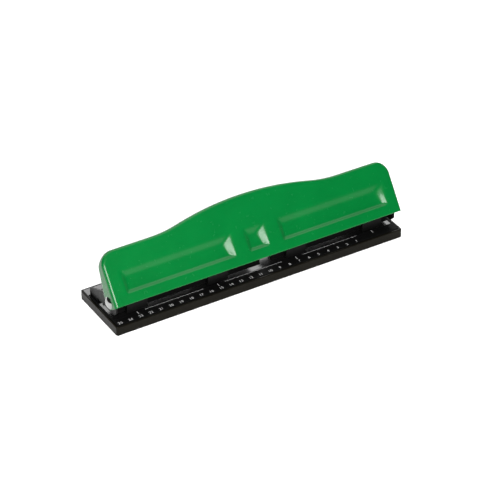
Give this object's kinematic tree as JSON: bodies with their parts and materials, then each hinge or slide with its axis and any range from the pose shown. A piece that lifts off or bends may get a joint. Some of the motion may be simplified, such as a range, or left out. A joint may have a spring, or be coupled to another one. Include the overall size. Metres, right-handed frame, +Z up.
{
  "type": "hole punch",
  "caption": "Desk hole punch for lever-arch sheets: a full-length green sheet-steel lever leans back over a black base with a rule and spring-returned pins.",
  "frame": {"origin": "on the table, under the middle of the base", "axes": "+X along the punch to the viewer's right, +Y from the paper mouth to the back, +Z up"},
  "size_m": [0.2962, 0.066, 0.0756],
  "materials": {
    "green_enamel": "glossy green stove enamel on pressed sheet steel",
    "black_enamel": "glossy black enamel on sheet steel",
    "black_tray": "black moulded plastic",
    "rule_black": "matt black strip with a printed white centimetre scale",
    "zinc_steel": "bright zinc-plated steel",
    "hard_steel": "ground hardened steel",
    "spring_steel": "drawn spring wire",
    "chrome": "polished chrome plate",
    "nylon": "black nylon",
    "rubber": "black rubber"
  },
  "bodies": {
    "base": {"chip_tray": "black_tray", "bed_plate": "black_enamel", "rule_strip": "rule_black", "rubber_feet": "rubber", "bracket_rivets": "black_enamel", "paper_stop": "black_enamel", "front_rail_left": "black_enamel", "front_rail_right": "black_enamel", "punch_die_1": "hard_steel", "punch_bracket_1": "black_enamel", "spring_seat_1": "zinc_steel", "return_spring_1": "spring_steel", "punch_die_2": "hard_steel", "punch_bracket_2": "black_enamel", "spring_seat_2": "zinc_steel", "return_spring_2": "spring_steel", "punch_die_3": "hard_steel", "punch_bracket_3": "black_enamel", "spring_seat_3": "zinc_steel", "return_spring_3": "spring_steel", "punch_die_4": "hard_steel", "punch_bracket_4": "black_enamel", "spring_seat_4": "zinc_steel", "return_spring_4": "spring_steel", "end_bracket_left": "black_enamel", "pivot_stud_left": "chrome", "pivot_washer_left": "nylon", "end_bracket_right": "black_enamel", "pivot_stud_right": "chrome", "pivot_washer_right": "nylon"},
    "lever": {"handle": "green_enamel", "press_bar": "zinc_steel", "bar_saddle_left": "green_enamel", "bar_saddle_right": "green_enamel"},
    "pin_1": {"punch_pin_1": "hard_steel", "retaining_clip_1": "spring_steel"},
    "pin_2": {"punch_pin_2": "hard_steel", "retaining_clip_2": "spring_steel"},
    "pin_3": {"punch_pin_3": "hard_steel", "retaining_clip_3": "spring_steel"},
    "pin_4": {"punch_pin_4": "hard_steel", "retaining_clip_4": "spring_steel"}
  },
  "joints": [
    {"name": "handle_press", "type": "hinge", "parent": "base", "child": "lever", "pos_m": [0, -0.0192, 0.0267], "axis": [-1, 0, 0], "range_deg": [0, 36]},
    {"name": "pin_1_stroke", "type": "slide", "parent": "base", "child": "pin_1", "axis": [0, 0, -1], "range_m": [0, 0.0085], "stiffness_N_per_m": 500, "springref_m": -0.005, "deforming": ["return_spring_1"]},
    {"name": "pin_2_stroke", "type": "slide", "parent": "base", "child": "pin_2", "axis": [0, 0, -1], "range_m": [0, 0.0085], "stiffness_N_per_m": 500, "springref_m": -0.005, "deforming": ["return_spring_2"]},
    {"name": "pin_3_stroke", "type": "slide", "parent": "base", "child": "pin_3", "axis": [0, 0, -1], "range_m": [0, 0.0085], "stiffness_N_per_m": 500, "springref_m": -0.005, "deforming": ["return_spring_3"]},
    {"name": "pin_4_stroke", "type": "slide", "parent": "base", "child": "pin_4", "axis": [0, 0, -1], "range_m": [0, 0.0085], "stiffness_N_per_m": 500, "springref_m": -0.005, "deforming": ["return_spring_4"]}
  ],
  "couplings": [
    {"joint": "pin_1_stroke", "follows": "handle_press", "m_per_rad": 0.013449},
    {"joint": "pin_2_stroke", "follows": "handle_press", "m_per_rad": 0.013449},
    {"joint": "pin_3_stroke", "follows": "handle_press", "m_per_rad": 0.013449},
    {"joint": "pin_4_stroke", "follows": "handle_press", "m_per_rad": 0.013449}
  ]
}
